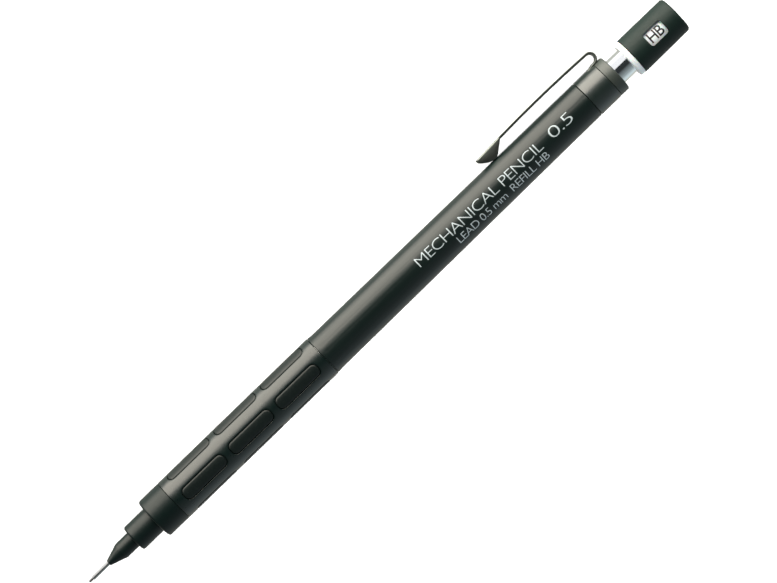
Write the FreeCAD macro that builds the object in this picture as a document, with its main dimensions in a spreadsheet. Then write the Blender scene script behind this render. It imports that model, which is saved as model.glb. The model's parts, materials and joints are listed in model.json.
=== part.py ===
"""A mechanical pencil for 0.5 mm lead, lying on a table with its clip down at one side.

Millimetres, +Z up. The row's origin is under the middle of the pencil, on the table. Each piece is
drawn about its own Z axis: z is the station, counted from the lead's tip towards the cap, and +X
points at the clip. One placement then lays every piece down, so that the tip points along -X.
"""
import FreeCAD, Part
import math
import os
import re
import Sketcher

os.makedirs("parts", exist_ok=True)

# Driving dimensions. A name that ends in _z is a station, in _r a radius, in _x a distance from the
# axis, in _w a width and in _t a thickness. A cutting outline goes on past the surface by cut_over.
SIZES = {
    # lead and guide pipe
    "lead_r": 0.25, "lead_length": 60, "lead_tip_r": 0.14, "lead_tip_length": 0.12,
    "pipe_z": 0.9, "pipe_end_z": 8.1, "pipe_r": 0.425, "pipe_chamfer": 0.06, "lead_slip": 0.02,
    # nose, outside
    "cone_z": 4.9, "cone_r": 0.65, "cone_round": 0.2,
    "tip_z": 8.2, "tip_r": 1.675,
    "step_z": 11.2, "step_r": 2.75, "collar_z": 16.4, "collar_r": 4.225, "edge_round": 0.45,
    "seam_z": 21.4, "seam_gap": 0.05, "spigot_z": 27.15, "spigot_r": 2.9,
    # nose, inside
    "pocket_z": 8.4, "pocket_r": 1.12, "cavity_z": 11.8, "cavity_r": 2.0,
    "shoulder_z": 15.25, "nose_bore_r": 2.35,
    "retainer_z": 8.5, "retainer_end_z": 10.5, "retainer_r": 1.1,
    # collet
    "jaw_z": 15.1, "jaw_head_z": 15.8, "jaw_head_r": 1.6, "jaw_cone_z": 17.2, "jaw_cone_r": 1.25,
    "jaw_neck_r": 1.05, "jaw_end_z": 24.87, "jaw_sweep": 108, "jaw_count": 3,
    "stem_z": 24.9, "stem_end_z": 43.9, "stem_bore_r": 0.4,
    "ring_z": 15.9, "ring_end_z": 17.5, "ring_r": 2.27, "ring_mouth_r": 1.61, "ring_bore_r": 1.3,
    "ring_bore_z": 17.17,
    # collet sleeve and spring
    "sleeve_z": 17.55, "sleeve_hole_r": 1.35, "sleeve_seat_z": 19.4, "sleeve_r": 2.3,
    "sleeve_bore_r": 1.9, "sleeve_flange_z": 27.2, "sleeve_flange_r": 2.9, "sleeve_end_z": 35.6,
    "spring_r": 1.6, "wire_r": 0.175, "spring_pitch": 1.55,
    # connector and lead tube
    "connector_z": 38.9, "connector_r": 2.3, "stem_socket_r": 1.06, "tube_z": 40.9,
    "plug_r": 1.78, "plug_end_z": 45.9, "funnel_z": 44.2, "funnel_r": 0.45, "funnel_mouth_r": 1.55,
    "tube_r": 2.3, "tube_bore_r": 1.8, "tube_end_z": 128.9,
    "spare_z": 64.9, "spare_offset": 1.5, "spare_count": 3, "spare_step": 21,
    # grip
    "core_z": 21.5, "core_r": 3.4, "core_thread_r": 2.95, "core_seat_z": 27.9, "core_bore_r": 2.65,
    "rear_spigot_r": 3.2, "rear_spigot_z": 66.9,
    "grip_r": 4.25, "grip_end_z": 59.2, "shell_t": 0.4, "lip_t": 0.6, "core_slip": 0.02,
    "rubber_z": 22.15, "rubber_end_z": 58.5, "rubber_r": 3.8,
    "slot_z": 28.58, "slot_pitch": 11.77, "slot_length": 10.35, "slot_w": 2.73, "slot_round": 1.15,
    "slot_count": 3, "slot_rows": 5, "first_row": 30.4, "pad_gap": 0.2, "pad_root_x": 3.5, "pad_rise": 1.0,
    "cut_over": 1.0,
    # barrel
    "barrel_z": 59.25, "barrel_lip_r": 4.2, "barrel_front_z": 60.35, "barrel_front_r": 4.1,
    "barrel_end_z": 126.35, "barrel_end_r": 3.85, "barrel_bore_r": 3.25,
    # clip band, bush and clip
    "band_z": 126.4, "band_end_z": 131.4, "band_r": 3.875, "band_bore_r": 3.22,
    "bush_z": 122.9, "bush_spigot_r": 3.2, "bush_flange_z": 131.45, "bush_end_z": 133.4,
    "bush_r": 3.85, "bush_bore_r": 2.68, "bush_round": 0.35,
    "clip_w": 3.0, "clip_t": 0.42, "tab_z": 126.5, "tab_x": 3.87,
    "bend_x": 5.0, "bend_z": 131.93, "bend_r": 1.13, "bend_arm_r": 1.28, "bend_split": 0.03,
    "clip_tip_z": 103.85, "clip_tip_x": 6.08, "clip_tip_round": 0.25, "clip_bow": 0.36,
    "flap_t": 0.4, "flap_front_z": 103.95, "flap_front_x": 5.75, "flap_apex_z": 107.1,
    "flap_apex_x": 3.81, "flap_back_z": 110.1, "flap_back_x": 6.05, "flap_bulge_r": 4.0,
    # cap end
    "pusher_z": 119.9, "pusher_flange_z": 122.85, "pusher_flange_r": 3.15,
    "pusher_r": 2.635, "pusher_bore_r": 2.35, "pusher_end_z": 145.4,
    "eraser_z": 134.9, "eraser_end_z": 146.9, "eraser_r": 2.3, "eraser_round": 0.4,
    "drum_z": 136.5, "drum_collar_r": 3.775, "drum_round": 0.35, "drum_collar_z": 137.55,
    "drum_r": 3.2, "drum_bore_r": 2.66, "drum_end_z": 147.3,
    "cap_z": 137.6, "cap_front_r": 3.85, "cap_rear_r": 3.8, "cap_bore_r": 3.25,
    "cap_wall_z": 147.4, "cap_round": 0.6, "overall_length": 148.8,
    "window_z": 143.4, "window_length": 4.2, "window_w": 2.95, "window_round": 0.55,
}

doc = FreeCAD.newDocument("mechanical_pencil")
sheet = doc.addObject("Spreadsheet::Sheet", "sheet")
for line, (alias, number) in enumerate(SIZES.items(), start=1):
    sheet.set("A%d" % line, alias)
    sheet.set("B%d" % line, str(number))
    sheet.setAlias("B%d" % line, alias)
doc.recompute()


def formula(text):
    """Turns words such as "grip_r - shell_t" into an expression on the sheet's cells."""
    return re.sub(r"[a-z][a-z_]*", lambda word: "sheet." + word.group(0), text)


def value(text):
    """The number that a formula gives."""
    return float(sheet.evalExpression(formula(text)))


def lying_placement():
    """Lays the pencil on the table: it rests on its grip and on the clip's lower corner."""
    half_w = value("clip_w / 2")
    reach = value("(clip_tip_x + bend_x + bend_arm_r) / 2 + clip_bow")
    roll = math.asin(value("grip_r") / math.hypot(reach, half_w)) - math.atan2(half_w, reach)
    to_clip = FreeCAD.Vector(0, math.cos(roll), -math.sin(roll))
    to_window = FreeCAD.Vector(0, math.sin(roll), math.cos(roll))
    turned_down = FreeCAD.Rotation(to_clip, to_window, FreeCAD.Vector(1, 0, 0), "ZXY")
    far_side = reach * math.cos(roll) + half_w * math.sin(roll)
    axis_y = (value("grip_r") - far_side) / 2
    start = FreeCAD.Vector(-value("overall_length") / 2, axis_y, value("grip_r"))
    return FreeCAD.Placement(start, turned_down)


LYING = lying_placement()
NODES = []


def add_node(node):
    """Keeps an object as one of the pieces to write."""
    node.Placement = LYING
    NODES.append(node)
    return node


def new_body(name):
    body = doc.addObject("PartDesign::Body", name)
    body.Label = name
    return add_node(body)


def origin_feature(body, role):
    """One of the body's own origin planes or axes."""
    return [feature for feature in body.Origin.OriginFeatures if feature.Role == role][0]


def new_sketch(body, name):
    """A sketch on the body's XZ plane: its x is the distance from the axis and its y the station."""
    sketch = body.newObject("Sketcher::SketchObject", name)
    sketch.AttachmentSupport = [(origin_feature(body, "XZ_Plane"), "")]
    sketch.MapMode = "FlatFace"
    return sketch


def arc_between(start, end, radius, turn):
    """The arc of less than half a circle from start to end that turns left (1) or right (-1)."""
    chord = end - start
    left = FreeCAD.Vector(-chord.y, chord.x, 0).normalize()
    rise = math.sqrt(max(radius ** 2 - (chord.Length / 2) ** 2, 0))
    centre = (start + end) / 2 + left * rise * turn
    first, last = (start, end) if turn > 0 else (end, start)
    angle_from = math.atan2(first.y - centre.y, first.x - centre.x)
    angle_to = math.atan2(last.y - centre.y, last.x - centre.x)
    circle = Part.Circle(centre, FreeCAD.Vector(0, 0, 1), radius)
    return Part.ArcOfCircle(circle, angle_from, angle_to)


def draw(sketch, outline):
    """Draws a closed outline and ties each corner, and each arc's radius, to the sheet.

    A corner is (x, y), or (x, y, radius, turn) where an arc leads to the next corner.
    """
    corners = [FreeCAD.Vector(value(corner[0]), value(corner[1]), 0) for corner in outline]
    edges = []
    for index, corner in enumerate(outline):
        start, end = corners[index], corners[(index + 1) % len(corners)]
        if len(corner) == 2:
            edges.append((sketch.addGeometry(Part.LineSegment(start, end)), 1, 2))
            continue
        radius, turn = corner[2:]
        arc = sketch.addGeometry(arc_between(start, end, value(radius), turn))
        edges.append((arc, 1, 2) if turn > 0 else (arc, 2, 1))
        tie(sketch, radius, "Radius", arc)
    for index, corner in enumerate(outline):
        edge, start, _ = edges[index]
        before, _, end = edges[index - 1]
        sketch.addConstraint(Sketcher.Constraint("Coincident", before, end, edge, start))
        tie(sketch, corner[0], "DistanceX", -1, 1, edge, start)
        tie(sketch, corner[1], "DistanceY", -1, 1, edge, start)


def tie(sketch, text, kind, *where):
    """Adds one constraint whose size is a formula on the sheet."""
    number = sketch.addConstraint(Sketcher.Constraint(kind, *where, value(text)))
    sketch.setExpression("Constraints[%d]" % number, formula(text))


def turned(name, outline, sweep=None):
    """A piece turned about the axis; sweep is the angle of a piece that isn't whole."""
    body = new_body(name)
    profile = new_sketch(body, name + "_profile")
    draw(profile, outline)
    turning = body.newObject("PartDesign::Revolution", name + "_turned")
    turning.Profile = profile
    turning.ReferenceAxis = (profile, ["V_Axis"])
    turning.Angle = 360
    if sweep:
        turning.Midplane = True
        turning.setExpression("Angle", formula(sweep))
    return body


def tube(name, bore, radius, start, end):
    """A plain turned tube."""
    return turned(name, [(bore, start), (radius, start), (radius, end), (bore, end)])


def rounded_rectangle(half_w, middle, half_length, radius):
    """A rectangle across the axis, with its four corners rounded."""
    low, high = "%s - %s" % (middle, half_length), "%s + %s" % (middle, half_length)
    inset = "%s - %s" % (half_w, radius)
    return [
        ("-(%s)" % inset, low), (inset, low, radius, 1),
        (half_w, "%s + %s" % (low, radius)), (half_w, "%s - %s" % (high, radius), radius, 1),
        (inset, high), ("-(%s)" % inset, high, radius, 1),
        ("-(%s)" % half_w, "%s - %s" % (high, radius)),
        ("-(%s)" % half_w, "%s + %s" % (low, radius), radius, 1)]


def slot_sketch(body, name, inset, height):
    """The three slots of one row, each smaller by inset, on a plane at a height over the axis."""
    sketch = new_sketch(body, name)
    turn = FreeCAD.Rotation(FreeCAD.Vector(0, 1, 0), 90 + value("first_row"))
    sketch.AttachmentOffset = FreeCAD.Placement(turn.multVec(FreeCAD.Vector(0, 0, height)), turn)
    for place in range(int(value("slot_count"))):
        middle = "slot_z + %d * slot_pitch" % place
        draw(sketch, rounded_rectangle("(slot_w / 2 - %s)" % inset, middle,
                                       "(slot_length / 2 - %s)" % inset,
                                       "(slot_round - %s)" % inset))
    return sketch


def repeat_rows(body, feature):
    """Repeats one row's feature round the axis."""
    rows = body.newObject("PartDesign::PolarPattern", feature.Name + "_rows")
    rows.Originals = [feature]
    rows.Axis = (origin_feature(body, "Z_Axis"), [""])
    rows.Angle = 360
    rows.setExpression("Occurrences", formula("slot_rows"))
    body.Tip = rows


# ---------------------------------------------------------------- lead and nose

def make_lead():
    turned("lead", [
        ("0", "0"), ("lead_tip_r", "0"), ("lead_r", "lead_tip_length"),
        ("lead_r", "lead_length"), ("0", "lead_length")])


def make_guide_pipe():
    turned("guide_pipe", [
        ("lead_r + lead_slip", "pipe_z"), ("pipe_r - pipe_chamfer", "pipe_z"),
        ("pipe_r", "pipe_z + pipe_chamfer"), ("pipe_r", "pipe_end_z"),
        ("lead_r + lead_slip", "pipe_end_z")])


def make_nose_cone():
    """Cone, two steps and collar in one piece, with a spigot that screws into the grip's core."""
    turned("nose_cone", [
        ("pipe_r", "cone_z"), ("cone_r - cone_round", "cone_z", "cone_round", 1),
        ("cone_r", "cone_z + cone_round"), ("tip_r", "tip_z"), ("tip_r", "step_z"),
        ("step_r - edge_round", "step_z", "edge_round", 1),
        ("step_r", "step_z + edge_round"), ("step_r", "collar_z"),
        ("collar_r - edge_round", "collar_z", "edge_round", 1),
        ("collar_r", "collar_z + edge_round"), ("collar_r", "seam_z"),
        ("spigot_r", "seam_z"), ("spigot_r", "spigot_z"),
        ("nose_bore_r", "spigot_z"), ("nose_bore_r", "shoulder_z"),
        ("cavity_r", "shoulder_z"), ("cavity_r", "cavity_z"),
        ("pocket_r", "cavity_z"), ("pocket_r", "pocket_z"), ("pipe_r", "pocket_z")])


# ---------------------------------------------------------------- collet and its spring

def make_chuck_jaws():
    """Three jaws, each a third of the collet less the saw cuts between them."""
    for number in range(int(value("jaw_count"))):
        jaw = turned("chuck_jaw_%d" % (number + 1), [
            ("lead_r + lead_slip", "jaw_z"), ("jaw_head_r", "jaw_z"),
            ("jaw_head_r", "jaw_head_z"), ("jaw_cone_r", "jaw_cone_z"),
            ("jaw_neck_r", "jaw_cone_z"), ("jaw_neck_r", "jaw_end_z"),
            ("lead_r + lead_slip", "jaw_end_z")], sweep="jaw_sweep")
        turn = FreeCAD.Rotation(FreeCAD.Vector(0, 0, 1), number * 360 / value("jaw_count"))
        jaw.Placement = LYING * FreeCAD.Placement(FreeCAD.Vector(0, 0, 0), turn)


def make_clutch_ring():
    turned("clutch_ring", [
        ("ring_mouth_r", "ring_z"), ("ring_r", "ring_z"), ("ring_r", "ring_end_z"),
        ("ring_bore_r", "ring_end_z"), ("ring_bore_r", "ring_bore_z")])


def make_chuck_sleeve():
    """Holds the spring's front end; its flange is clamped between the nose and the grip's core."""
    turned("chuck_sleeve", [
        ("sleeve_hole_r", "sleeve_z"), ("sleeve_r", "sleeve_z"),
        ("sleeve_r", "sleeve_flange_z"), ("sleeve_flange_r", "sleeve_flange_z"),
        ("sleeve_flange_r", "core_seat_z"), ("sleeve_r", "core_seat_z"),
        ("sleeve_r", "sleeve_end_z"), ("sleeve_bore_r", "sleeve_end_z"),
        ("sleeve_bore_r", "sleeve_seat_z"), ("sleeve_hole_r", "sleeve_seat_z")])


def make_chuck_spring():
    """A round wire wound about the stem, from the sleeve's seat to the connector."""
    body = new_body("chuck_spring")
    section = new_sketch(body, "wire_section")
    centre = FreeCAD.Vector(value("spring_r"), value("sleeve_seat_z + 2 * wire_r"), 0)
    wire = section.addGeometry(Part.Circle(centre, FreeCAD.Vector(0, 0, 1), value("wire_r")))
    tie(section, "wire_r", "Radius", wire)
    tie(section, "spring_r", "DistanceX", -1, 1, wire, 3)
    tie(section, "sleeve_seat_z + 2 * wire_r", "DistanceY", -1, 1, wire, 3)
    coil = body.newObject("PartDesign::AdditiveHelix", "coil")
    coil.Profile = section
    coil.ReferenceAxis = (section, ["V_Axis"])
    coil.Mode = "pitch-height-angle"
    coil.setExpression("Pitch", formula("spring_pitch"))
    coil.setExpression("Height", formula("connector_z - sleeve_seat_z - 4 * wire_r"))


def make_chuck_connector():
    """Pressed on the stem and into the lead tube; its funnel leads the next lead to the stem."""
    turned("chuck_connector", [
        ("stem_socket_r", "connector_z"), ("connector_r", "connector_z"),
        ("connector_r", "tube_z"), ("plug_r", "tube_z"), ("plug_r", "plug_end_z"),
        ("funnel_mouth_r", "plug_end_z"), ("funnel_r", "funnel_z"),
        ("funnel_r", "stem_end_z"), ("stem_socket_r", "stem_end_z")])


def make_spare_leads():
    """Loose leads that lie side by side on the lower wall of the lead tube."""
    down = LYING.Rotation.inverted().multVec(FreeCAD.Vector(0, 0, -1))
    lowest = math.degrees(math.atan2(down.y, down.x))
    count = int(value("spare_count"))
    middle_one = (count - 1) / 2
    leads = []
    for number in range(count):
        lead = doc.addObject("Part::Cylinder", "spare_lead_%d" % (number + 1))
        lead.setExpression("Radius", formula("lead_r"))
        lead.setExpression("Height", formula("lead_length"))
        angle = math.radians(lowest + (number - middle_one) * value("spare_step"))
        offset = value("spare_offset")
        lead.Placement.Base = FreeCAD.Vector(
            offset * math.cos(angle), offset * math.sin(angle), value("spare_z"))
        leads.append(lead)
    group = doc.addObject("Part::Compound", "spare_leads")
    group.Links = leads
    add_node(group)


# ---------------------------------------------------------------- grip and barrel

def make_grip_core():
    """The tube that the nose, the grip and the barrel screw onto."""
    turned("grip_core", [
        ("core_thread_r", "core_z"), ("core_r", "core_z"), ("core_r", "grip_end_z"),
        ("rear_spigot_r", "grip_end_z"), ("rear_spigot_r", "rear_spigot_z"),
        ("core_bore_r", "rear_spigot_z"), ("core_bore_r", "core_seat_z"),
        ("core_thread_r", "core_seat_z")])


def make_grip_shell():
    """Metal tube with a lip at its front, cut with five rows of three slots."""
    body = turned("grip_shell", [
        ("core_r + core_slip", "seam_z + seam_gap"), ("grip_r", "seam_z + seam_gap"),
        ("grip_r", "grip_end_z"), ("grip_r - shell_t", "grip_end_z"),
        ("grip_r - shell_t", "seam_z + seam_gap + lip_t"),
        ("core_r + core_slip", "seam_z + seam_gap + lip_t")])
    slots = body.newObject("PartDesign::Pocket", "slots")
    slots.Profile = slot_sketch(body, "slot_outlines", "0", 0)
    slots.Reversed = True
    slots.setExpression("Length", formula("grip_r + cut_over"))
    repeat_rows(body, slots)


def make_grip_rubber():
    """Sleeve under the shell, with pads that fill the slots to the shell's outside."""
    body = tube("grip_rubber", "core_r + core_slip", "rubber_r", "rubber_z", "rubber_end_z")
    pads = body.newObject("PartDesign::Pad", "pads")
    pads.Profile = slot_sketch(body, "pad_outlines", "pad_gap", value("pad_root_x"))
    pads.setExpression("Length", formula("pad_rise"))
    repeat_rows(body, pads)
    trim = body.newObject("PartDesign::Groove", "pad_tops")
    trim_profile = new_sketch(body, "pad_top_profile")
    draw(trim_profile, [
        ("grip_r", "seam_z"), ("grip_r + pad_rise", "seam_z"),
        ("grip_r + pad_rise", "grip_end_z"), ("grip_r", "grip_end_z")])
    trim.Profile = trim_profile
    trim.ReferenceAxis = (trim_profile, ["V_Axis"])
    trim.Angle = 360
    body.Tip = trim


def make_barrel():
    turned("barrel", [
        ("barrel_bore_r", "barrel_z"), ("barrel_lip_r", "barrel_z"),
        ("barrel_front_r", "barrel_front_z"), ("barrel_end_r", "barrel_end_z"),
        ("barrel_bore_r", "barrel_end_z")])


# ---------------------------------------------------------------- clip and bush

def make_end_bush():
    turned("end_bush", [
        ("bush_bore_r", "bush_z"), ("bush_spigot_r", "bush_z"),
        ("bush_spigot_r", "bush_flange_z"), ("bush_r", "bush_flange_z"),
        ("bush_r", "bush_end_z - bush_round", "bush_round", 1),
        ("bush_r - bush_round", "bush_end_z"), ("bush_bore_r", "bush_end_z")])


def strip(name, outline):
    """A piece of clip: an outline seen from the side, as wide as the clip."""
    body = new_body(name)
    profile = new_sketch(body, name + "_profile")
    draw(profile, outline)
    sheet_metal = body.newObject("PartDesign::Pad", name + "_strip")
    sheet_metal.Profile = profile
    sheet_metal.Midplane = True
    sheet_metal.setExpression("Length", formula("clip_w"))
    return body


def make_clip_root():
    """The tab that lies along the band, and the bend as far as its rearmost point."""
    strip("clip_root", [
        ("tab_x", "tab_z"), ("tab_x + clip_t", "tab_z"),
        ("tab_x + clip_t", "bend_z", "bend_r - clip_t", -1),
        ("bend_x - bend_split", "bend_z + bend_r - clip_t"),
        ("bend_x - bend_split", "bend_z + bend_r", "bend_r", 1), ("tab_x", "bend_z")])


def make_clip_arm():
    """The rest of the bend and the bowed arm, with a flap folded down on each side of its tip."""
    arm_x = "bend_x + bend_arm_r"
    arm_z = "(bend_z + bend_r - bend_arm_r)"
    bow_r = "((%s - clip_tip_z)^2 / 4 + clip_bow^2) / (2 * clip_bow)" % arm_z
    body = strip("clip_arm", [
        ("bend_x + bend_split", "bend_z + bend_r - clip_t", "bend_arm_r - clip_t", -1),
        (arm_x + " - clip_t", arm_z, bow_r, -1), ("clip_tip_x - clip_t", "clip_tip_z"),
        ("clip_tip_x - clip_tip_round", "clip_tip_z", "clip_tip_round", 1),
        ("clip_tip_x", "clip_tip_z + clip_tip_round", bow_r, 1),
        (arm_x, arm_z, "bend_arm_r", 1), ("bend_x + bend_split", "bend_z + bend_r")])
    outline = new_sketch(body, "flap_outline")
    inner_side = FreeCAD.Vector(0, 0, value("clip_w / 2 - flap_t"))
    outline.AttachmentOffset = FreeCAD.Placement(inner_side, FreeCAD.Rotation())
    draw(outline, [
        ("flap_front_x", "flap_front_z", "flap_bulge_r", -1), ("flap_apex_x", "flap_apex_z"),
        ("flap_back_x", "flap_back_z")])
    flap = body.newObject("PartDesign::Pad", "flap")
    flap.Profile = outline
    flap.setExpression("Length", formula("flap_t"))
    other_flap = body.newObject("PartDesign::Mirrored", "other_flap")
    other_flap.Originals = [flap]
    other_flap.MirrorPlane = (origin_feature(body, "XZ_Plane"), [""])
    body.Tip = other_flap


# ---------------------------------------------------------------- cap end

def make_pusher_tube():
    """Chrome tube; the flange on its front end stops it against the bush."""
    turned("pusher_tube", [
        ("pusher_bore_r", "pusher_z"), ("pusher_flange_r", "pusher_z"),
        ("pusher_flange_r", "pusher_flange_z"), ("pusher_r", "pusher_flange_z"),
        ("pusher_r", "pusher_end_z"), ("pusher_bore_r", "pusher_end_z")])


def make_eraser():
    turned("eraser", [
        ("0", "eraser_z"), ("eraser_r", "eraser_z"),
        ("eraser_r", "eraser_end_z - eraser_round", "eraser_round", 1),
        ("eraser_r - eraser_round", "eraser_end_z"), ("0", "eraser_end_z")])


def make_grade_drum():
    """White drum that grips the chrome tube; its front end shows as a ring before the cap."""
    turned("grade_drum", [
        ("drum_bore_r", "drum_z"), ("drum_collar_r - drum_round", "drum_z", "drum_round", 1),
        ("drum_collar_r", "drum_z + drum_round"), ("drum_collar_r", "drum_collar_z"),
        ("drum_r", "drum_collar_z"), ("drum_r", "drum_end_z"), ("drum_bore_r", "drum_end_z")])


def make_cap_shell():
    """Cap that turns on the drum, with the window that shows one grade."""
    body = turned("cap_shell", [
        ("cap_bore_r", "cap_z"), ("cap_front_r", "cap_z"),
        ("cap_rear_r", "overall_length - cap_round", "cap_round", 1),
        ("cap_rear_r - cap_round", "overall_length"), ("0", "overall_length"),
        ("0", "cap_wall_z"), ("cap_bore_r", "cap_wall_z")])
    window = body.newObject("PartDesign::Pocket", "window")
    outline = new_sketch(body, "window_outline")
    draw(outline, rounded_rectangle("window_w / 2", "window_z", "window_length / 2",
                                    "window_round"))
    window.Profile = outline
    window.setExpression("Length", formula("cap_front_r + cut_over"))


def make_all():
    make_lead()
    make_guide_pipe()
    make_nose_cone()
    tube("lead_retainer", "lead_r + lead_slip", "retainer_r", "retainer_z", "retainer_end_z")
    make_chuck_jaws()
    tube("chuck_stem", "stem_bore_r", "jaw_neck_r", "stem_z", "stem_end_z")
    make_clutch_ring()
    make_chuck_sleeve()
    make_chuck_spring()
    make_chuck_connector()
    tube("lead_tube", "tube_bore_r", "tube_r", "tube_z", "tube_end_z")
    make_spare_leads()
    make_grip_core()
    make_grip_shell()
    make_grip_rubber()
    make_barrel()
    tube("clip_ring", "band_bore_r", "band_r", "band_z", "band_end_z")
    make_end_bush()
    make_clip_root()
    make_clip_arm()
    make_pusher_tube()
    make_eraser()
    make_grade_drum()
    make_cap_shell()


def check_and_write():
    """Stops on a failed object or a bad shape, then writes each piece to its own file."""
    doc.recompute()
    for item in doc.Objects:
        if "Invalid" in item.State or "Error" in item.State:
            raise RuntimeError("%s failed: %s" % (item.Name, item.State))
    for node in NODES:
        shape = node.Shape
        if shape.isNull() or not shape.isValid() or not shape.Solids:
            raise RuntimeError("%s has no valid solid" % node.Label)
        shape.exportStep("parts/%s.step" % node.Label)
        print("%-16s %d solid(s) %10.3f mm3" % (node.Label, len(shape.Solids), shape.Volume))


make_all()
check_and_write()
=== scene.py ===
import json
import math

import bmesh
import bpy
from mathutils import Matrix, Vector


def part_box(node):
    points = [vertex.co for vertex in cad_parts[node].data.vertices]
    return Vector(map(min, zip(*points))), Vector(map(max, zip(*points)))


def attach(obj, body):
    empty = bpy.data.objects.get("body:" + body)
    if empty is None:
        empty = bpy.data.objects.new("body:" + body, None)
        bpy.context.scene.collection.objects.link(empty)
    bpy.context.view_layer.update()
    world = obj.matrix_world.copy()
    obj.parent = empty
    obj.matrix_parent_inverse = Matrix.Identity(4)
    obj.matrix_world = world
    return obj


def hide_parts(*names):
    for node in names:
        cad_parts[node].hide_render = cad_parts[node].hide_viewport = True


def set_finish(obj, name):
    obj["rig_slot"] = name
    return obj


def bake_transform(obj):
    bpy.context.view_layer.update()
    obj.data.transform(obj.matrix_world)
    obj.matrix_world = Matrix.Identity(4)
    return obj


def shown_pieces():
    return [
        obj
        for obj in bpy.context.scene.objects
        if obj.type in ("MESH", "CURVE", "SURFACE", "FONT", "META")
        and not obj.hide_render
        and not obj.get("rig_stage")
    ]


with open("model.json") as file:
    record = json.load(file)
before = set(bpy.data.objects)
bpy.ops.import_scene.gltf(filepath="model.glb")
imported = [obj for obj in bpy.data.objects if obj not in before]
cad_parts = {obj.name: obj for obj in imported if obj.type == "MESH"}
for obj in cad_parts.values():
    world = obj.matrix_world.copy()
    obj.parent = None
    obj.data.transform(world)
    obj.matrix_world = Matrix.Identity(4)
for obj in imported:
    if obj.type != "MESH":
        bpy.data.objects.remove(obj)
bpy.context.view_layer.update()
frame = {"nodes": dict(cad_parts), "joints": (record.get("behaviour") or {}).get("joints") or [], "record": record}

MM = 0.001
JOINTS = {joint["name"]: joint for joint in frame["joints"]}
ALONG = Vector((1, 0, 0))
TO_WINDOW = -Vector(JOINTS["clip_flex"]["axis"])
TO_CLIP = TO_WINDOW.cross(ALONG)
AXIS_POINT = Vector(JOINTS["cap_turn"]["pos_m"])
TIP_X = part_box("lead")[0].x


# ---------------------------------------------------------------- places on the pencil

def place(station, to_clip, to_window=0.0):
    """The point at a station, and at distances from the axis towards the clip and the window, in mm."""
    start = Vector((TIP_X, AXIS_POINT.y, AXIS_POINT.z))
    return start + (ALONG * station + TO_CLIP * to_clip + TO_WINDOW * to_window) * MM


def around(station, radius, angle):
    """The point at a station and radius in mm; the angle turns from the clip towards the window."""
    return place(station, radius * math.cos(angle), radius * math.sin(angle))


def span(node):
    """The first and last station of a CAD node."""
    low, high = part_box(node)
    return (low.x - TIP_X) / MM, (high.x - TIP_X) / MM


def radius_of(node):
    """The largest radius of a CAD node that is turned about the pencil's axis."""
    return max(math.hypot(v.co.y - AXIS_POINT.y, v.co.z - AXIS_POINT.z)
               for v in frame["nodes"][node].data.vertices) / MM


# ---------------------------------------------------------------- mesh helpers

WELD = 1e-7
SHARP = math.radians(40)
ROUND_STEPS = 6
TURN_STEPS = 120
WHOLE_TURN = [2 * math.pi * i / TURN_STEPS for i in range(TURN_STEPS)]


class Builder:
    """Collects points and faces for one piece."""

    def __init__(self):
        self.points = []
        self.faces = []

    def ring(self, points):
        """Adds points and returns their numbers."""
        first = len(self.points)
        self.points.extend(points)
        return list(range(first, len(self.points)))

    def skin(self, rings):
        """Joins each ring to the next, which has as many points, with quads."""
        for ring, other in zip(rings, rings[1:]):
            for i in range(len(ring)):
                j = (i + 1) % len(ring)
                self.faces.append((ring[i], ring[j], other[j], other[i]))

    def close_ends(self, rings):
        """Closes the first and the last ring with one face each."""
        self.faces.append(tuple(rings[0]))
        self.faces.append(tuple(rings[-1]))

    def piece(self, name, material, slot):
        """Makes the piece: welded, smooth except at sharp edges, with its normals outward."""
        made = bmesh.new()
        vertices = [made.verts.new(point) for point in self.points]
        for face in self.faces:
            made.faces.new([vertices[i] for i in face])
        bmesh.ops.remove_doubles(made, verts=made.verts, dist=WELD)
        bmesh.ops.dissolve_degenerate(made, edges=made.edges, dist=WELD)
        bmesh.ops.recalc_face_normals(made, faces=made.faces)
        return piece_of(name, made, material, slot)


def piece_of(name, made, material, slot):
    """The piece for a bmesh: smooth except at its sharp edges, with one material."""
    for face in made.faces:
        face.smooth = True
    for edge in made.edges:
        if len(edge.link_faces) == 2 and edge.calc_face_angle() > SHARP:
            edge.smooth = False
    mesh = bpy.data.meshes.new(name)
    made.to_mesh(mesh)
    made.free()
    piece = bpy.data.objects.new(name, mesh)
    bpy.context.scene.collection.objects.link(piece)
    mesh.materials.append(material)
    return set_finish(piece, slot)


def turn_rings(builder, outline, angles=WHOLE_TURN):
    """Adds one ring of points for each (station, radius) of an outline."""
    return [builder.ring([around(station, radius, a) for a in angles]) for station, radius in outline]


def arc(centre, radius, start, end, steps=ROUND_STEPS):
    """Points on an arc about a centre, from one angle to another in degrees."""
    turns = [math.radians(start + (end - start) * i / steps) for i in range(steps + 1)]
    return [(centre[0] + radius * math.cos(a), centre[1] + radius * math.sin(a)) for a in turns]


# ---------------------------------------------------------------- materials

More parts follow.
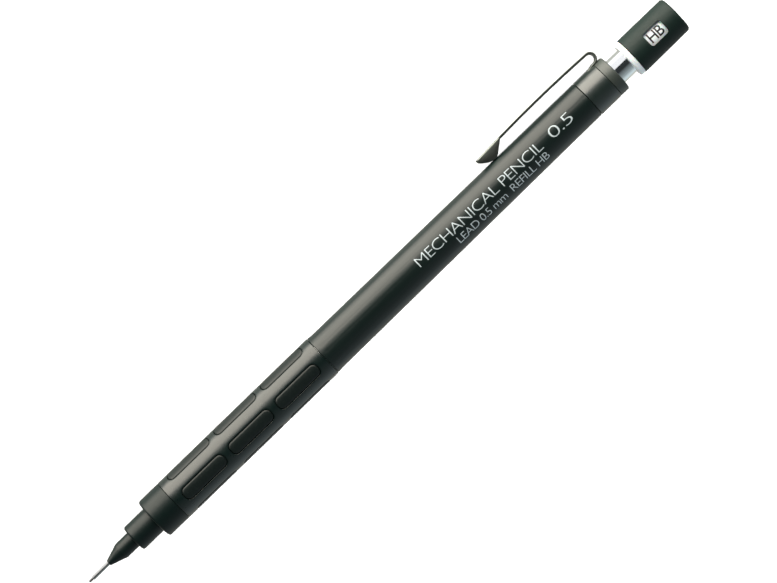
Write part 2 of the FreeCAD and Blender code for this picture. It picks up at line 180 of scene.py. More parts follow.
class Finish:
    """A material: one Principled shader, and the textures that feed it."""

    def __init__(self, name, **sockets):
        """Each keyword is one of the shader's sockets, in small letters with underscores."""
        self.material = bpy.data.materials.new(name)
        self.material.use_nodes = True
        self.nodes = self.material.node_tree.nodes
        self.links = self.material.node_tree.links
        self.shader = self.nodes["Principled BSDF"]
        for setting, number in sockets.items():
            socket = setting.replace("_", " ").title().replace("Ior", "IOR")
            self.shader.inputs[socket].default_value = number
        self.place = self.nodes.new("ShaderNodeTexCoord").outputs["Object"]
        self.relief = None

    def feed(self, socket, source):
        """Gives a socket another node's output, a number or vector, or a colour as a triple."""
        if isinstance(source, bpy.types.NodeSocket):
            self.links.new(source, socket)
        elif socket.type == "RGBA":
            socket.default_value = (*source, 1)
        else:
            socket.default_value = source

    def node(self, kind, inputs, **settings):
        """A new node, with what feeds its inputs and its other settings."""
        made = self.nodes.new(kind)
        for setting, choice in settings.items():
            setattr(made, setting, choice)
        for socket, source in inputs.items():
            self.feed(made.inputs[socket], source)
        return made

    def math(self, operation, *values):
        """A Math node's output; a value is a number or another node's output."""
        return self.node("ShaderNodeMath", dict(enumerate(values)), operation=operation).outputs[0]

    def scaled(self, stretch):
        """Object coordinates stretched along the pencil's axis by a factor."""
        inputs = {"Vector": self.place, "Scale": (1 / stretch, 1, 1)}
        return self.node("ShaderNodeMapping", inputs).outputs[0]

    def noise(self, size_mm, detail, stretch=1.0):
        """Noise from 0 to 1 whose lumps are about size_mm wide."""
        inputs = {"Vector": self.scaled(stretch), "Scale": 1 / (size_mm * MM), "Detail": detail}
        return self.node("ShaderNodeTexNoise", inputs).outputs["Fac"]

    def spread(self, source, low, high, to_low, to_high):
        """Maps low..high of a source to another range, with clamping."""
        inputs = {"Value": source, "From Min": low, "From Max": high,
                  "To Min": to_low, "To Max": to_high}
        return self.node("ShaderNodeMapRange", inputs).outputs[0]

    def blend(self, factor, color, other):
        """A mix of two colours, each a triple or an output; 6, 7 and 2 are the node's colour sockets."""
        made = self.nodes.new("ShaderNodeMix")
        made.data_type = "RGBA"
        self.feed(made.inputs["Factor"], factor)
        self.feed(made.inputs[6], color)
        self.feed(made.inputs[7], other)
        return made.outputs[2]

    def near(self, stations, width_mm):
        """1 at each of the stations, falling to 0 at width_mm from it."""
        x = self.node("ShaderNodeSeparateXYZ", {"Vector": self.place}).outputs[0]
        mask = None
        for station in stations:
            offset = self.math("SUBTRACT", x, TIP_X + station * MM)
            distance = self.math("ABSOLUTE", offset)
            ring = self.spread(distance, 0.0, width_mm * MM, 1.0, 0.0)
            mask = ring if mask is None else self.math("MAXIMUM", mask, ring)
        return mask

    def color(self, source):
        """Sets the base colour, to a triple or an output."""
        self.feed(self.shader.inputs["Base Color"], source)

    def roughness(self, source):
        """Feeds the roughness from an output."""
        self.feed(self.shader.inputs["Roughness"], source)

    def metallic(self, source):
        """Feeds the metallic share from an output."""
        self.feed(self.shader.inputs["Metallic"], source)

    def bump(self, source, height_mm):
        """Adds relief; several calls add up."""
        inputs = {"Height": source, "Distance": height_mm * MM, "Strength": 1.0}
        if self.relief is not None:
            inputs["Normal"] = self.relief
        self.relief = self.node("ShaderNodeBump", inputs).outputs[0]
        self.feed(self.shader.inputs["Normal"], self.relief)


WORN_METAL = (0.055, 0.058, 0.054)
WEAR_WIDTH_MM = 0.14


def paint(name, dark, light, roughness, gloss, worn_at=()):
    """A satin coat: mottled, with a fine grain, and rubbed to bare metal in patches at some stations."""
    finish = Finish(name, specular_ior_level=gloss)
    tone = finish.blend(finish.noise(2.4, 4.0), dark, light)
    blotches = finish.noise(0.8, 3.0)
    finish.roughness(finish.spread(blotches, 0.3, 0.7, roughness - 0.02, roughness + 0.03))
    finish.bump(finish.noise(0.09, 2.0), 0.004)
    if worn_at:
        rub = finish.math("MULTIPLY", finish.near(worn_at, WEAR_WIDTH_MM), finish.noise(0.35, 4.0))
        worn = finish.spread(rub, 0.42, 0.55, 0.0, 1.0)
        tone = finish.blend(worn, tone, WORN_METAL)
        finish.metallic(worn)
    finish.color(tone)
    return finish.material


def barrel_plastic():
    """Semi-gloss dark barrel with faint length-wise handling marks."""
    finish = Finish("barrel_finish", specular_ior_level=0.5)
    mottle = finish.noise(3.0, 3.0)
    finish.color(finish.blend(mottle, (0.002, 0.0075, 0.0068), (0.0035, 0.0105, 0.0095)))
    marks = finish.noise(0.25, 4.0, stretch=14.0)
    finish.roughness(finish.spread(marks, 0.3, 0.75, 0.33, 0.40))
    finish.bump(finish.noise(0.12, 2.0), 0.003)
    return finish.material


def pad_rubber():
    """Satin rubber with a fine tooth and a little dust."""
    finish = Finish("pad_finish", specular_ior_level=0.4)
    dust = finish.spread(finish.noise(0.5, 5.0), 0.55, 0.8, 0.0, 1.0)
    finish.color(finish.blend(dust, (0.002, 0.0065, 0.006), (0.009, 0.016, 0.0145)))
    finish.roughness(finish.spread(finish.noise(0.3, 3.0), 0.3, 0.7, 0.40, 0.50))
    finish.bump(finish.noise(0.06, 2.0), 0.006)
    return finish.material


def clip_steel():
    """Gunmetal spring steel, brushed along its length."""
    finish = Finish("clip_finish", metallic=1.0)
    streaks = finish.noise(0.07, 5.0, stretch=30.0)
    finish.color(finish.blend(streaks, (0.12, 0.14, 0.13), (0.22, 0.235, 0.215)))
    finish.roughness(finish.spread(streaks, 0.3, 0.7, 0.27, 0.42))
    finish.bump(streaks, 0.003)
    return finish.material


def chrome():
    """Polished plating with faint turned lines and finger marks."""
    finish = Finish("chrome_finish", metallic=1.0)
    finish.color((0.85, 0.86, 0.88))
    smears = finish.noise(1.3, 4.0)
    finish.roughness(finish.spread(smears, 0.35, 0.7, 0.05, 0.16))
    finish.bump(finish.noise(0.05, 2.0, stretch=0.2), 0.0006)
    return finish.material


def turned_metal(name, dark, light, roughness=0.3, tool_mark_mm=0.002):
    """Bare turned metal: fine rings from the tool across the axis."""
    finish = Finish(name, metallic=1.0)
    rings = finish.noise(0.06, 3.0, stretch=0.05)
    finish.color(finish.blend(finish.noise(0.9, 4.0), dark, light))
    finish.roughness(finish.spread(rings, 0.3, 0.7, roughness - 0.08, roughness + 0.1))
    finish.bump(rings, tool_mark_mm)
    return finish.material


def white_plastic():
    """Smooth white plastic, faintly mottled, that lets light in a little way."""
    finish = Finish("white_finish", specular_ior_level=0.5,
                    subsurface_weight=0.15, subsurface_scale=0.0004)
    finish.color(finish.blend(finish.noise(2.0, 3.0), (0.82, 0.88, 0.93), (0.77, 0.82, 0.86)))
    finish.roughness(finish.spread(finish.noise(0.4, 3.0), 0.3, 0.7, 0.26, 0.36))
    finish.bump(finish.noise(0.2, 2.0), 0.002)
    return finish.material


def cap_plastic():
    """Satin dark green-grey moulding."""
    finish = Finish("cap_finish", specular_ior_level=0.28)
    finish.color(finish.blend(finish.noise(2.0, 3.0), (0.003, 0.012, 0.010), (0.005, 0.017, 0.014)))
    finish.roughness(finish.spread(finish.noise(0.5, 4.0), 0.3, 0.7, 0.51, 0.60))
    finish.bump(finish.noise(0.08, 2.0), 0.005)
    return finish.material


def tube_plastic():
    """Milky tube that lets a little light through."""
    finish = Finish("tube_finish", roughness=0.38, transmission_weight=0.35, ior=1.46)
    finish.color(finish.blend(finish.noise(3.0, 3.0), (0.78, 0.80, 0.80), (0.86, 0.88, 0.88)))
    finish.bump(finish.noise(0.5, 2.0, stretch=8.0), 0.004)
    return finish.material


def graphite():
    """Polymer lead: grey-black with a slight sheen and fine drawn lines."""
    finish = Finish("graphite_finish", roughness=0.42, metallic=0.35)
    lines = finish.noise(0.04, 3.0, stretch=25.0)
    finish.color(finish.blend(lines, (0.045, 0.045, 0.05), (0.11, 0.11, 0.12)))
    finish.bump(lines, 0.003)
    return finish.material


def rubber(name, dark, light):
    """Matte rubber with a powdery surface."""
    finish = Finish(name, roughness=0.75, specular_ior_level=0.3)
    finish.color(finish.blend(finish.noise(0.7, 4.0), dark, light))
    finish.bump(finish.noise(0.1, 4.0), 0.01)
    return finish.material


# The tone of thin ink, as a share of the full colour.
THIN_INK = 0.82


def ink(name, color):
    """Printed ink, a little uneven in cover."""
    finish = Finish(name, roughness=0.45)
    thin = tuple(channel * THIN_INK for channel in color)
    cover = finish.spread(finish.noise(0.12, 3.0), 0.35, 0.6, 0.0, 1.0)
    finish.color(finish.blend(cover, thin, color))
    finish.bump(finish.noise(0.05, 2.0), 0.002)
    return finish.material


# Stations of the nose's edges, where the paint wears.
NOSE_TIP_MM = 8.2
NOSE_STEP_MM = 11.3
NOSE_COLLAR_MM = 16.5


def make_materials():
    """One material for each slot of the record."""
    nose, grip, band = span("nose_cone"), span("grip_shell"), span("clip_ring")
    return {
        "nose_paint": paint("nose_finish", (0.001, 0.0065, 0.006), (0.002, 0.009, 0.0085), 0.40,
                            gloss=0.31, worn_at=(nose[0], NOSE_TIP_MM, NOSE_STEP_MM, NOSE_COLLAR_MM)),
        "pipe_steel": turned_metal("pipe_finish", (0.48, 0.47, 0.46), (0.62, 0.61, 0.60), 0.26, 0.0006),
        "grip_paint": paint("grip_finish", (0.001, 0.0065, 0.006), (0.002, 0.009, 0.008), 0.29,
                            gloss=0.68, worn_at=(grip[0],)),
        "pad_rubber": pad_rubber(),
        "barrel_plastic": barrel_plastic(),
        "band_paint": paint("band_finish", (0.006, 0.013, 0.012), (0.009, 0.018, 0.016), 0.32,
                            gloss=0.97, worn_at=band),
        "clip_steel": clip_steel(),
        "bush_plastic": paint("bush_finish", (0.030, 0.040, 0.036), (0.040, 0.050, 0.045), 0.42,
                              gloss=0.6),
        "chrome": chrome(),
        "white_plastic": white_plastic(),
        "cap_plastic": cap_plastic(),
        "core_metal": turned_metal("core_finish", (0.58, 0.59, 0.60), (0.74, 0.75, 0.76)),
        "brass": turned_metal("brass_finish", (0.55, 0.40, 0.17), (0.80, 0.62, 0.30), 0.28),
        "spring_steel": turned_metal("spring_finish", (0.42, 0.42, 0.43), (0.60, 0.60, 0.61)),
        "tube_plastic": tube_plastic(),
        "lead_graphite": graphite(),
        "eraser_rubber": rubber("eraser_finish", (0.72, 0.72, 0.70), (0.86, 0.86, 0.84)),
        "seal_rubber": rubber("seal_finish", (0.015, 0.015, 0.015), (0.04, 0.04, 0.04)),
    }


def dress_nodes(materials):
    """Gives every CAD node its slot's material."""
    for part in frame["record"]["subparts"]:
        node = frame["nodes"][part["node"]]
        node.data.materials.clear()
        node.data.materials.append(materials[part["material_slot"]])


# ---------------------------------------------------------------- turned parts

# How wide each part's edges are rounded, in mm.
SOFTENED = {"nose_cone": 0.05, "barrel": 0.17, "clip_ring": 0.17, "end_bush": 0.07, "grade_drum": 0.06,
            "cap_shell": 0.07}
FLAT = math.radians(1)
CORNER = math.radians(30)


def body_of(node):
    """The name of the body that a CAD node belongs to."""
    bodies = frame["record"]["behaviour"]["bodies"]
    return next(name for name, nodes in bodies.items() if node in nodes)


def soften(node, edge_mm, materials):
    """A CAD node with its sharp edges rounded, as a new piece that stands for the node."""
    part = next(part for part in frame["record"]["subparts"] if part["node"] == node)
    made = bmesh.new()
    made.from_mesh(frame["nodes"][node].data)
    bmesh.ops.remove_doubles(made, verts=made.verts, dist=WELD)
    bmesh.ops.dissolve_limit(made, angle_limit=FLAT, verts=made.verts, edges=made.edges)
    corners = [edge for edge in made.edges
               if len(edge.link_faces) == 2 and edge.calc_face_angle() > CORNER]
    bmesh.ops.bevel(made, geom=corners, offset=edge_mm * MM, offset_type="OFFSET", affect="EDGES",
                    segments=3, profile=0.5, clamp_overlap=True)
    slot = part["material_slot"]
    piece = piece_of(node + "_softened", made, materials[slot], slot)
    piece.modifiers.new("flat_faces", "WEIGHTED_NORMAL").keep_sharp = True
    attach(piece, body_of(node))
    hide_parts(node)


def soften_nodes(materials):
    """Rounds the edges of the turned parts that are seen."""
    for node, edge_mm in SOFTENED.items():
        soften(node, edge_mm, materials)


# ---------------------------------------------------------------- grip

# One slot's middle is at SLOT_MM along the pencil and at FIRST_ROW round it.
SLOT_MM = 28.58
SLOT_PITCH_MM = 11.77
SLOT_HALF_LENGTH_MM = 10.35 / 2
SLOT_HALF_WIDTH_MM = 2.73 / 2
SLOT_CORNER_MM = 1.15
SLOT_COUNT = 3
SLOT_ROWS = 5
FIRST_ROW = math.radians(30.4)
HALF_ROW = math.pi / SLOT_ROWS
LONG_STEPS = 10
SHORT_STEPS = 4
CELL_STEPS = 4
SMALLEST_CORNER_MM = 0.02

GRIP_RADIUS_MM = radius_of("grip_shell")
CORE_RADIUS_MM = radius_of("grip_core")
SHELL_MM = 0.4
LIP_MM = 0.6
CORE_SLIP_MM = 0.02
LIP_RADIUS_MM = CORE_RADIUS_MM + CORE_SLIP_MM
SHELL_EDGE_MM = 0.12
SHELL_EDGE_STEPS = 3
PAD_GAP_MM = 0.09
PAD_EDGE_MM = 0.3
PAD_EDGE_STEPS = 5
PAD_TOP_STEPS = 3
PAD_ROOT_RADIUS_MM = 3.7
SLEEVE_RADIUS_MM = 3.8
SLEEVE_BORE_MM = CORE_RADIUS_MM + 0.01


def between(start, end, steps):
    """Points between two points, without the two themselves."""
    return [tuple(a + (b - a) * i / steps for a, b in zip(start, end)) for i in range(1, steps)]


def slot_loop(grow):
    """The slot's rounded outline as (along, across) points, larger all round by grow."""
    corner = max(SLOT_CORNER_MM + grow, SMALLEST_CORNER_MM)
    along = SLOT_HALF_LENGTH_MM + grow - corner
    across = SLOT_HALF_WIDTH_MM + grow - corner
    centres = [(along, across), (-along, across), (-along, -across), (along, -across)]
    arcs = [arc(centre, corner, 90 * i, 90 * i + 90) for i, centre in enumerate(centres)]
    loop = []
    for i, points in enumerate(arcs):
        loop += points + between(points[-1], arcs[(i + 1) % 4][0], side_steps(i))
    return loop


def side_steps(side):
    """The number of steps along a straight side: the first and third sides are the long ones."""
    return SHORT_STEPS if side % 2 else LONG_STEPS


def cell_edge():
    """The edge of one slot's share of the grip as (along, angle) points, one for each of its loop."""
    half = SLOT_PITCH_MM / 2
    corners = [(half, HALF_ROW), (-half, HALF_ROW), (-half, -HALF_ROW), (half, -HALF_ROW)]
    edge = []
    for i, corner in enumerate(corners):
        edge += [corner] + between(corner, corners[(i + 1) % 4], ROUND_STEPS + side_steps(i))
    lead_in = ROUND_STEPS // 2
    return edge[-lead_in:] + edge[:-lead_in]


def on_cylinder(loop, radius):
    """(along, across) points as (along, angle), so that a slot's walls stay flat and parallel."""
    return [(along, math.asin(across / radius)) for along, across in loop]


def cell_ring(builder, loop, radius, station, row):
    """Adds a loop of (along, angle) points at a radius, about one slot's middle."""
    return builder.ring([around(station + along, radius, row + angle) for along, angle in loop])


def slots():
    """The station and angle of each slot's middle."""
    return [(SLOT_MM + SLOT_PITCH_MM * i, FIRST_ROW + 2 * HALF_ROW * row)
            for i in range(SLOT_COUNT) for row in range(SLOT_ROWS)]


def shell_cell(builder, station, row):
    """The shell round one slot: outside, rounded edge, wall and inside."""
    inner = GRIP_RADIUS_MM - SHELL_MM
    edge = cell_edge()
    opening = on_cylinder(slot_loop(SHELL_EDGE_MM), GRIP_RADIUS_MM)
    inside = on_cylinder(slot_loop(0), inner)
    loops = [(edge, GRIP_RADIUS_MM)]
    loops += [(mixed(edge, opening, i / CELL_STEPS), GRIP_RADIUS_MM) for i in range(1, CELL_STEPS)]
    for grow, drop in arc((SHELL_EDGE_MM, SHELL_EDGE_MM), SHELL_EDGE_MM, 270, 180, SHELL_EDGE_STEPS):
        radius = GRIP_RADIUS_MM - drop
        loops.append((on_cylinder(slot_loop(grow), radius), radius))
    loops += [(mixed(inside, edge, i / CELL_STEPS), inner) for i in range(CELL_STEPS + 1)]
    builder.skin([cell_ring(builder, loop, radius, station, row) for loop, radius in loops])


def mixed(loop, other, share):
    """A loop a share of the way from one loop to another."""
    return [tuple(a + (b - a) * share for a, b in zip(p, q)) for p, q in zip(loop, other)]


def shell_end(builder, end, towards):
    """The plain band at one end of the shell, with its rounded rim and the lip that rests on the core."""
    end_slot = SLOT_MM + SLOT_PITCH_MM * (SLOT_COUNT - 1) if towards > 0 else SLOT_MM
    edge_station = end_slot + towards * SLOT_PITCH_MM / 2
    row_steps = ROUND_STEPS + SHORT_STEPS
    angles = [FIRST_ROW - HALF_ROW + 2 * HALF_ROW / row_steps * i
              for i in range(SLOT_ROWS * row_steps)]
    rim_centre = (end - towards * SHELL_EDGE_MM, GRIP_RADIUS_MM - SHELL_EDGE_MM)
    rim = arc(rim_centre, SHELL_EDGE_MM, 90, 0 if towards > 0 else 180, SHELL_EDGE_STEPS)
    inner = GRIP_RADIUS_MM - SHELL_MM
    lip = end - towards * LIP_MM
    outline = [(edge_station, GRIP_RADIUS_MM)] + rim
    outline += [(end, LIP_RADIUS_MM), (lip, LIP_RADIUS_MM), (lip, inner), (edge_station, inner)]
    builder.skin(turn_rings(builder, outline, angles))


def grip_shell(materials):
    """The slotted metal sleeve of the grip."""
    builder = Builder()
    for station, row in slots():
        shell_cell(builder, station, row)
    first, last = span("grip_shell")
    shell_end(builder, first, -1)
    shell_end(builder, last, 1)
    piece = builder.piece("slotted_grip", materials["grip_paint"], "grip_paint")
    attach(piece, "barrel")
    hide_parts("grip_shell")


def close_slot(builder, ring):
    """Closes a loop that has a slot's shape with strips from one long side to the other."""
    last = len(ring) - SHORT_STEPS
    middle = last // 2
    half = SHORT_STEPS // 2
    for i in range(1, middle - half - 1):
        builder.faces.append((ring[i], ring[i + 1], ring[last - i - 1], ring[last - i]))
    builder.faces.append(tuple(ring[i] for i in range(middle - half - 1, middle + half + 2)))
    builder.faces.append(tuple(ring[i % len(ring)] for i in range(last - 1, len(ring) + 2)))


def pad(builder, station, row):
    """One rubber pad that fills a slot, with a rounded edge and a top that follows the grip."""
    loops = [(-PAD_GAP_MM, PAD_ROOT_RADIUS_MM)]
    centre = (-PAD_GAP_MM - PAD_EDGE_MM, GRIP_RADIUS_MM - PAD_EDGE_MM)
    loops += arc(centre, PAD_EDGE_MM, 0, 90, PAD_EDGE_STEPS)
    top_start, top_end = centre[0], SMALLEST_CORNER_MM - SLOT_CORNER_MM
    loops += [(top_start + (top_end - top_start) * i / PAD_TOP_STEPS, GRIP_RADIUS_MM)
              for i in range(1, PAD_TOP_STEPS + 1)]
    rings = [cell_ring(builder, on_cylinder(slot_loop(grow), radius), radius, station, row)
             for grow, radius in loops]
    builder.skin(rings)
    close_slot(builder, rings[-1])
    close_slot(builder, rings[0])


def grip_pads(materials):
    """The rubber sleeve inside the grip and the pads that stand in its slots, moulded as one."""
    first, last = span("grip_rubber")
    builder = Builder()
    outline = [(first, SLEEVE_BORE_MM), (last, SLEEVE_BORE_MM), (last, SLEEVE_RADIUS_MM),
               (first, SLEEVE_RADIUS_MM)]
    builder.skin(turn_rings(builder, outline + outline[:1]))
    for station, row in slots():
        pad(builder, station, row)
    piece = builder.piece("grip_pads", materials["pad_rubber"], "pad_rubber")
    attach(piece, "barrel")
    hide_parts("grip_rubber")


# ---------------------------------------------------------------- clip

CLIP_MM = 0.42
CLIP_HALF_WIDTH_MM = 1.5
CLIP_SPLIT_MM = 132.85
TAB_START_MM = 126.5
TAB_OUT_MM = 3.78
TAB_HIDDEN_MM = 3.1
TAB_RISE_MM = 1.6
TAB_DIP_MM = 0.42
BEND_OUT_MM = 5.0
ARM_OUT_MM = 6.07
ARM_TIP_OUT_MM = 5.87
ARM_TIP_MM = 103.85
ARM_BOW_MM = 0.36
ARM_STEPS = 110
BEND_STEPS = 10
TAB_RISE_STEPS = 6
CLIP_TIP_ROUND_MM = 0.5
CLIP_EDGE_MM = 0.1
CLIP_EDGE_STEPS = 2
FOLD_MM = 0.2
FOLD_STEPS = 4
FLAP_MM = 0.4
FLAP_FRONT = (ARM_TIP_MM, 5.5)
FLAP_APEX = (107.1, 3.81)
FLAP_BACK = (110.1, 6.05)
FLAP_BULGE_MM = 0.45
FLAP_NOSE_MM = 0.12
# The tip's corners stop a little short of their full rounding, so that the strip ends blunt.
TIP_ROUNDING = 0.98


def bowed(start, end, station, bow):
    """How far out a line between two points is at a station, if its middle bows outward by some mm."""
    share = (station - start[0]) / (end[0] - start[0])
    return start[1] + (end[1] - start[1]) * share + 4 * bow * share * (1 - share)


def clip_path():
    """The middle of the bent strip as (station, out) points, from its tab round the bend to its tip."""
    root = BEND_OUT_MM - TAB_OUT_MM
    top = ARM_OUT_MM - BEND_OUT_MM
    tab = (TAB_START_MM, TAB_OUT_MM - TAB_DIP_MM)
    hidden = (tab[0] + TAB_HIDDEN_MM, tab[1])
    risen = (hidden[0] + TAB_RISE_MM, TAB_OUT_MM)
    path = [tab, hidden] + between(hidden, risen, TAB_RISE_STEPS) + [risen]
    path += arc((CLIP_SPLIT_MM - root, BEND_OUT_MM), root, -90, 0, BEND_STEPS)
    path += arc((CLIP_SPLIT_MM - top, BEND_OUT_MM), top, 0, 90, BEND_STEPS)[1:]
    start, end = (CLIP_SPLIT_MM - top, ARM_OUT_MM), (ARM_TIP_MM, ARM_TIP_OUT_MM)
    for i in range(1, ARM_STEPS + 1):
        station = start[0] + (end[0] - start[0]) * (i / ARM_STEPS)
        path.append((station, bowed(start, end, station, ARM_BOW_MM)))
    return path


def flap_depth(station, out):
    """How far the folded flaps reach below the strip's underside at a station."""
    underside = out - CLIP_MM / 2
    if FLAP_FRONT[0] <= station <= FLAP_APEX[0]:
        lowest = bowed(FLAP_FRONT, FLAP_APEX, station, -FLAP_BULGE_MM)
    elif FLAP_APEX[0] < station <= FLAP_BACK[0]:
        lowest = bowed(FLAP_APEX, FLAP_BACK, station, 0.0)
    else:
        return 0.0
    nose = max(0.0, 1 - abs(station - FLAP_APEX[0]) / (2 * FLAP_NOSE_MM))
    return max(0.0, underside - lowest - FLAP_NOSE_MM * nose ** 2)


def clip_section(half_width, depth):
    """The strip's section as (across, inward) points, with a flap folded down at each edge."""
    edge = CLIP_EDGE_MM
    half = CLIP_MM / 2
    bottom = half + depth
    fold = edge + min(FOLD_MM, depth)
    inner = half_width - FLAP_MM
    side = arc((half_width - fold, fold - half), fold, -90, 0, FOLD_STEPS)
    side += arc((half_width - edge, bottom - edge), edge, 0, 90, CLIP_EDGE_STEPS)
    side += arc((inner + edge, max(half, bottom - edge)), edge, 90, 180, CLIP_EDGE_STEPS)
    side.append((inner, half))
    return side + [(-across, inward) for across, inward in reversed(side)]


def clip_half_width(station):
    """Half the strip's width at a station, less at the rounded corners of its tip."""
    to_tip = CLIP_TIP_ROUND_MM - min(CLIP_TIP_ROUND_MM, station - ARM_TIP_MM)
    rounding = math.sqrt(CLIP_TIP_ROUND_MM ** 2 - to_tip ** 2 * TIP_ROUNDING)
    return CLIP_HALF_WIDTH_MM - CLIP_TIP_ROUND_MM + rounding


def clip_strip(materials):
    """The spring clip, one bent strip: its tab is held by the band, and its arm ends in two flaps."""
    builder = Builder()
    path = clip_path()
    rings = []
    for i, (station, out) in enumerate(path):
        before, after = path[max(i - 1, 0)], path[min(i + 1, len(path) - 1)]
        forward = Vector((after[0] - before[0], after[1] - before[1])).normalized()
        inward = Vector((-forward.y, forward.x))
        depth = flap_depth(station, out) if out > BEND_OUT_MM else 0.0
        section = clip_section(clip_half_width(station), depth)
        rings.append(builder.ring([place(station + inward.x * down, out + inward.y * down, across)
                                   for across, down in section]))
    builder.skin(rings)
    builder.close_ends(rings)
    piece = builder.piece("spring_clip", materials["clip_steel"], "clip_steel")
    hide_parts("clip_root", "clip_arm")
    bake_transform(piece)


# ---------------------------------------------------------------- spring

WIRE_RADIUS_MM = 0.175
SPRING_TURNS = 14
STEPS_A_TURN = 24
WIRE_STEPS = 10


def spring_rise(turn, length):
    """The wire's place along the spring after some turns, of which the first and last are closed."""
    closed = 2 * WIRE_RADIUS_MM
    if turn < 1:
        return closed * turn
    if turn > SPRING_TURNS - 1:
        return length - closed * (SPRING_TURNS - turn)
    return closed + (length - 2 * closed) * (turn - 1) / (SPRING_TURNS - 2)


def coil_spring(materials):
    """The wire spring that draws the chuck back, built at its length at rest."""
    first, last = span("chuck_spring")
    coil_radius = radius_of("chuck_spring") - WIRE_RADIUS_MM
    builder = Builder()
    rings = []
    for i in range(SPRING_TURNS * STEPS_A_TURN + 1):
        turn = i / STEPS_A_TURN
        middle = first + WIRE_RADIUS_MM + spring_rise(turn, last - first - 2 * WIRE_RADIUS_MM)
        section = arc((middle, coil_radius), WIRE_RADIUS_MM, 0, 360, WIRE_STEPS)[:-1]
        angle = 2 * math.pi * turn
        rings.append(builder.ring([around(station, radius, angle) for station, radius in section]))
    builder.skin(rings)
    builder.close_ends(rings)
    piece = builder.piece("coil_spring", materials["spring_steel"], "spring_steel")
    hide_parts("chuck_spring")
    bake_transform(piece)


# ---------------------------------------------------------------- printing

# Two points of the barrel's taper, each a station and a radius.
BARREL_FRONT = (60.35, 4.1)
BARREL_REAR = (126.35, 3.85)
DRUM_RADIUS_MM = 3.2
WINDOW_MM = 143.4
WINDOW_ANGLE = math.pi / 2

# The ink reaches half its thickness to each side of its middle, which stands a little off the surface.
INK_HALF_MM = 0.006
INK_LIFT = 0.6
LETTER_HALF = 0.5
LETTER_SPACING = 0.9
LETTER_CURVE_STEPS = 6
LETTER_WELD_MM = 0.0005
PRINT_SLICE_MM = 0.12
GRADES = ("HB", "H", "2H", "F", "B", "2B")
GRADE_LETTER_MM = 1.5
GRADE_EXTRA_MM = 0.2
GRADE_HEIGHT_MM = 2.1
GRADE_WEIGHT = 0.01


def barrel_radius(station):
    """The tapered barrel's radius at a station."""
    share = (station - BARREL_FRONT[0]) / (BARREL_REAR[0] - BARREL_FRONT[0])
    return BARREL_FRONT[1] + (BARREL_REAR[1] - BARREL_FRONT[1]) * share


def drum_radius(station):
    """The drum's radius, which is the same at every station."""
    return DRUM_RADIUS_MM


def lettering_mesh(words, length, height, weight):
    """Flat raised letters, scaled to a length and a height in mm and cut into slices that can bend."""
    text = bpy.data.curves.new("letters", "FONT")
    text.body = words
    text.extrude = LETTER_HALF
    text.offset = weight
    text.space_character = LETTER_SPACING
    text.resolution_u = LETTER_CURVE_STEPS
    holder = bpy.data.objects.new("letters", text)
    bpy.context.scene.collection.objects.link(holder)
    bpy.context.view_layer.update()
    mesh = bpy.data.meshes.new_from_object(holder)
    bpy.data.objects.remove(holder)
    made = bmesh.new()
    made.from_mesh(mesh)
    low = [min(v.co[i] for v in made.verts) for i in range(2)]
    high = [max(v.co[i] for v in made.verts) for i in range(2)]
    for vertex in made.verts:
        vertex.co.x = (vertex.co.x - low[0]) / (high[0] - low[0]) * length
        vertex.co.y = ((vertex.co.y - low[1]) / (high[1] - low[1]) - 0.5) * height
    bmesh.ops.remove_doubles(made, verts=made.verts, dist=LETTER_WELD_MM)
    for i in range(1, int(height / PRINT_SLICE_MM)):
        cut = (0, i * PRINT_SLICE_MM - height / 2, 0)
        everything = made.verts[:] + made.edges[:] + made.faces[:]
        bmesh.ops.bisect_plane(made, geom=everything, plane_co=cut, plane_no=(0, 1, 0))
    return made


def printed(name, words, station, length, height, weight, angle, surface, material, slot, body):
    """Printing wrapped on a round surface: it reads towards the cap, with its tops towards the clip."""
    made = lettering_mesh(words, length, height, weight)
    for vertex in made.verts:
        at = station + vertex.co.x
        radius = surface(at)
        lift = INK_HALF_MM * (vertex.co.z / LETTER_HALF + INK_LIFT)
        vertex.co = around(at, radius + lift, angle - vertex.co.y / radius)
    bmesh.ops.recalc_face_normals(made, faces=made.faces)
    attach(piece_of(name, made, material, slot), body)


def barrel_print():
    """Plain words in two lines, and the lead's size behind the first."""
    white = ink("print_finish", (0.50, 0.58, 0.62))
    # Name, words, first station, length, height, weight, and how far round it is towards the clip.
    words = [("print_kind", "MECHANICAL PENCIL", 83.2, 31.2, 1.95, -0.018, 0.09),
             ("print_size", "0.5", 116.7, 5.2, 2.1, -0.018, 0.09),
             ("print_lead", "LEAD 0.5 mm  REFILL HB", 91.5, 22.7, 1.6, -0.012, -2.27)]
    for name, text, station, length, height, weight, to_clip in words:
        angle = WINDOW_ANGLE - to_clip / barrel_radius(station + length / 2)
        printed(name, text, station, length, height, weight, angle, barrel_radius,
                white, "white_plastic", "barrel")


def drum_print():
    """A lead grade for each sixth of a turn, to show in the cap's window."""
    dark = ink("grade_finish", (0.012, 0.012, 0.016))
    for i, grade in enumerate(GRADES):
        length = GRADE_LETTER_MM * len(grade) + GRADE_EXTRA_MM
        angle = WINDOW_ANGLE + 2 * math.pi * i / len(GRADES)
        printed("grade_" + grade, grade, WINDOW_MM - length / 2, length, GRADE_HEIGHT_MM, GRADE_WEIGHT,
                angle, drum_radius, dark, "cap_plastic", "drum")


# ---------------------------------------------------------------- studio

# Lengths in this section are in metres. The field is as wide as the picture is at the pencil.
CAMERA_DISTANCE = 0.85
FIELD_WIDTH = 0.1416
AXIS_TILT = math.radians(44.1)
AIM_RIGHT = 0.00107
AIM_UP = 0.00114

FLOOR_HALF = 3.0
FLOOR_SUN = 5.2
FLOOR_SUN_ANGLE = math.radians(60)
KEY_COLOR = (1.0, 0.92, 0.79)
